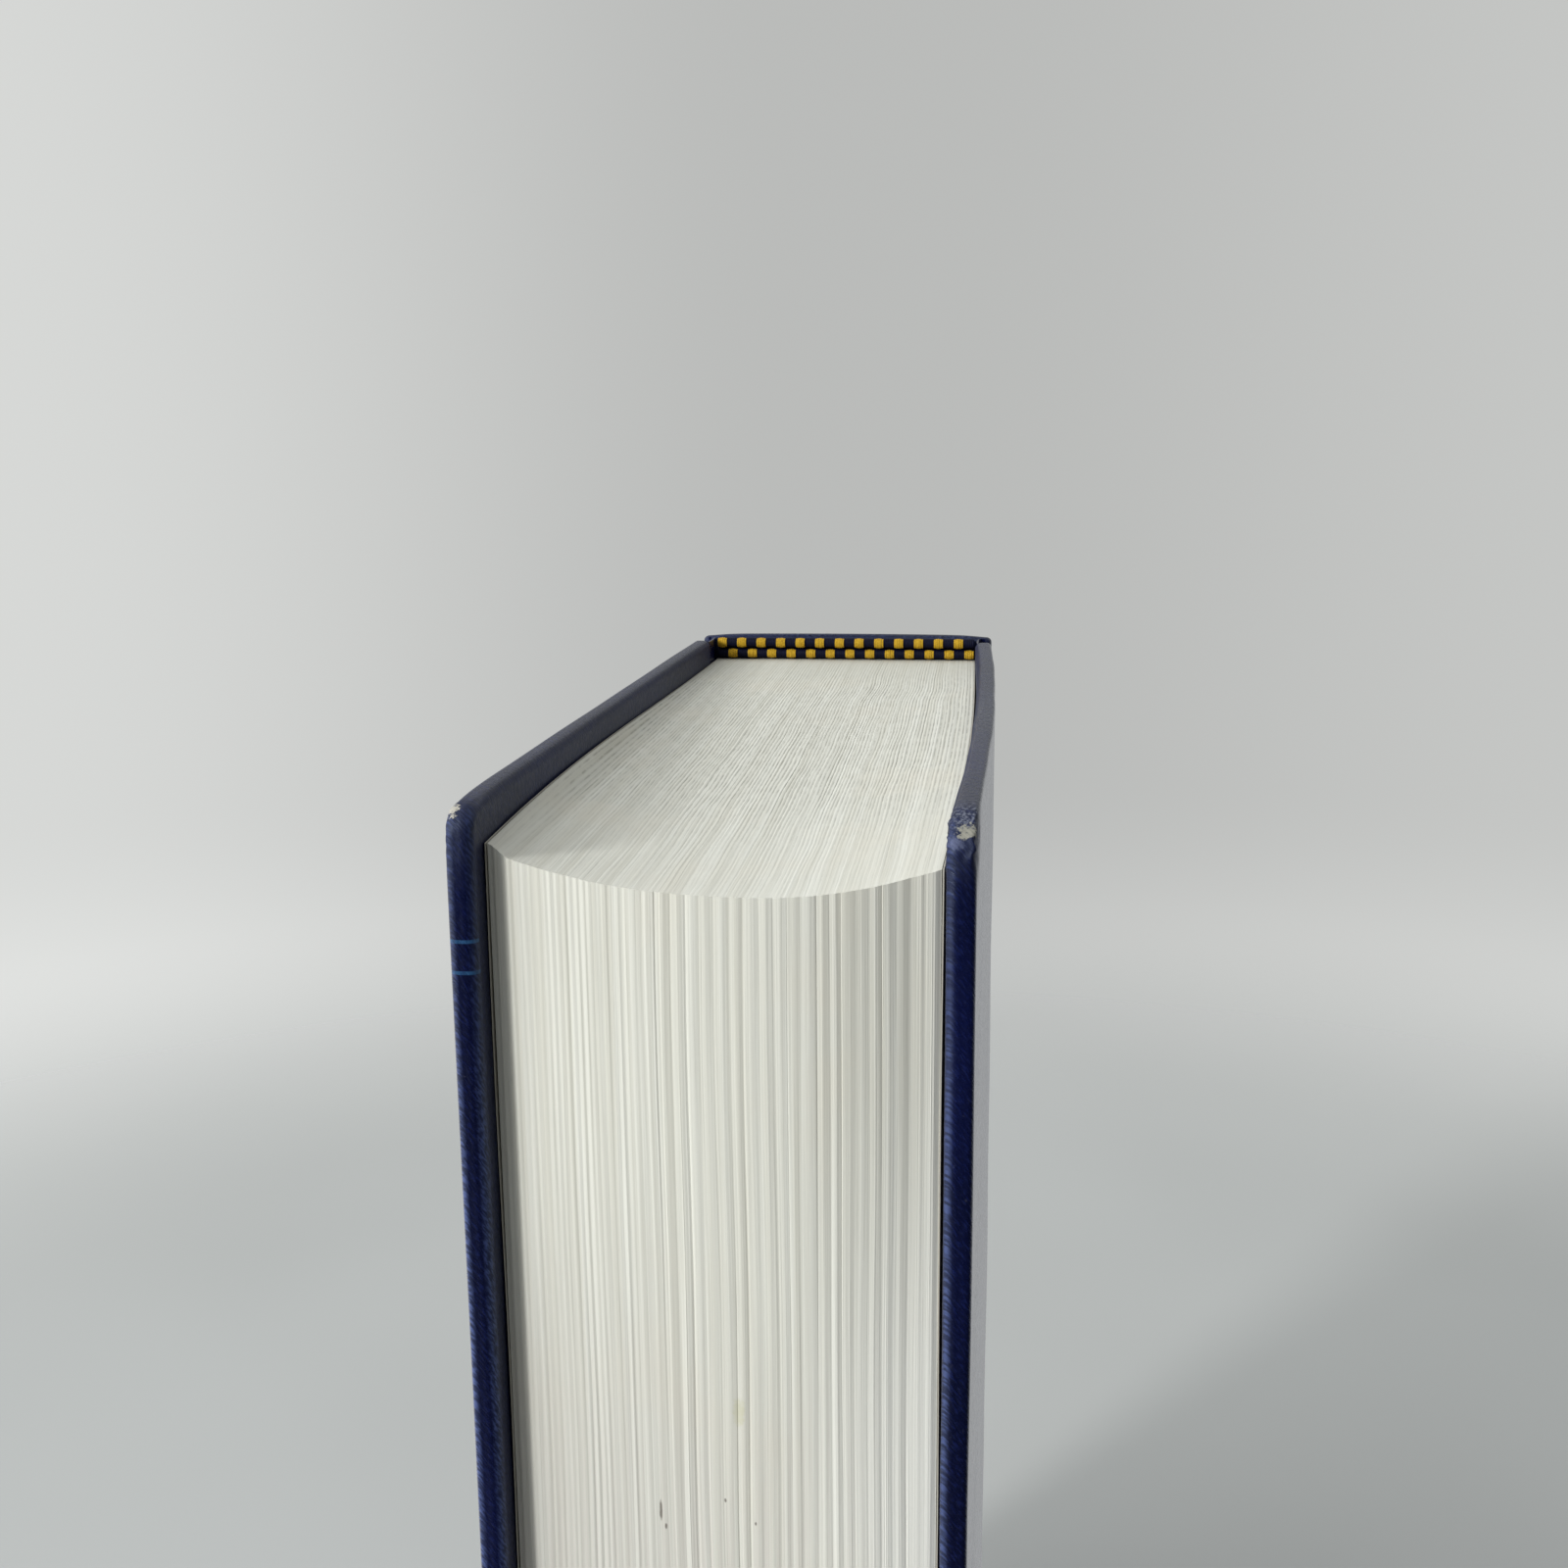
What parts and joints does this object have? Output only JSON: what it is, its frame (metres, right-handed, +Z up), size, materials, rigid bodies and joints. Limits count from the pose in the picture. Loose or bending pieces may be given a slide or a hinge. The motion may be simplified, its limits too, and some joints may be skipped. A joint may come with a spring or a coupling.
{
  "type": "hardcover book",
  "caption": "Thick hardcover book standing closed on its tail edge, with covers that swing open on grooved joints, a square page block and checked head and tail bands.",
  "frame": {"origin": "middle of the book's footprint, on the surface that it stands on", "axes": "+Z up along the book's height, -Y towards the fore edge, +Y towards the spine, -X towards the front cover"},
  "size_m": [0.0588, 0.1583, 0.241],
  "materials": {
    "pages": "matte",
    "endpaper": "matte",
    "gauze": "matte",
    "band_dark": "satin",
    "band_light": "satin",
    "greyboard": "matte",
    "covering": "satin"
  },
  "bodies": {
    "book_block": {"text_block": "pages", "front_flyleaf": "endpaper", "back_flyleaf": "endpaper", "spine_lining": "gauze", "head_band": "band_dark", "head_band_thread": "band_light", "tail_band": "band_dark", "tail_band_thread": "band_light", "spine_board": "greyboard", "spine_cover": "covering"},
    "front_joint_cloth": {"front_joint": "covering"},
    "front_case": {"front_board": "greyboard", "front_cover": "covering", "front_pastedown": "endpaper"},
    "back_joint_cloth": {"back_joint": "covering"},
    "back_case": {"back_board": "greyboard", "back_cover": "covering", "back_pastedown": "endpaper"}
  },
  "joints": [
    {"name": "front_joint_swing", "type": "hinge", "parent": "book_block", "child": "front_joint_cloth", "pos_m": [-0.0254, 0.07465, 0.1205], "axis": [0, 0, -1], "range_deg": [0, 90]},
    {"name": "front_cover_swing", "type": "hinge", "parent": "front_joint_cloth", "child": "front_case", "pos_m": [-0.0254, 0.06785, 0.1205], "axis": [0, 0, -1], "range_deg": [0, 90]},
    {"name": "back_joint_swing", "type": "hinge", "parent": "book_block", "child": "back_joint_cloth", "pos_m": [0.0254, 0.07465, 0.1205], "axis": [0, 0, 1], "range_deg": [0, 90]},
    {"name": "back_cover_swing", "type": "hinge", "parent": "back_joint_cloth", "child": "back_case", "pos_m": [0.0254, 0.06785, 0.1205], "axis": [0, 0, 1], "range_deg": [0, 90]}
  ],
  "couplings": [
    {"joint": "front_cover_swing", "follows": "front_joint_swing", "ratio": 1},
    {"joint": "back_cover_swing", "follows": "back_joint_swing", "ratio": 1}
  ]
}
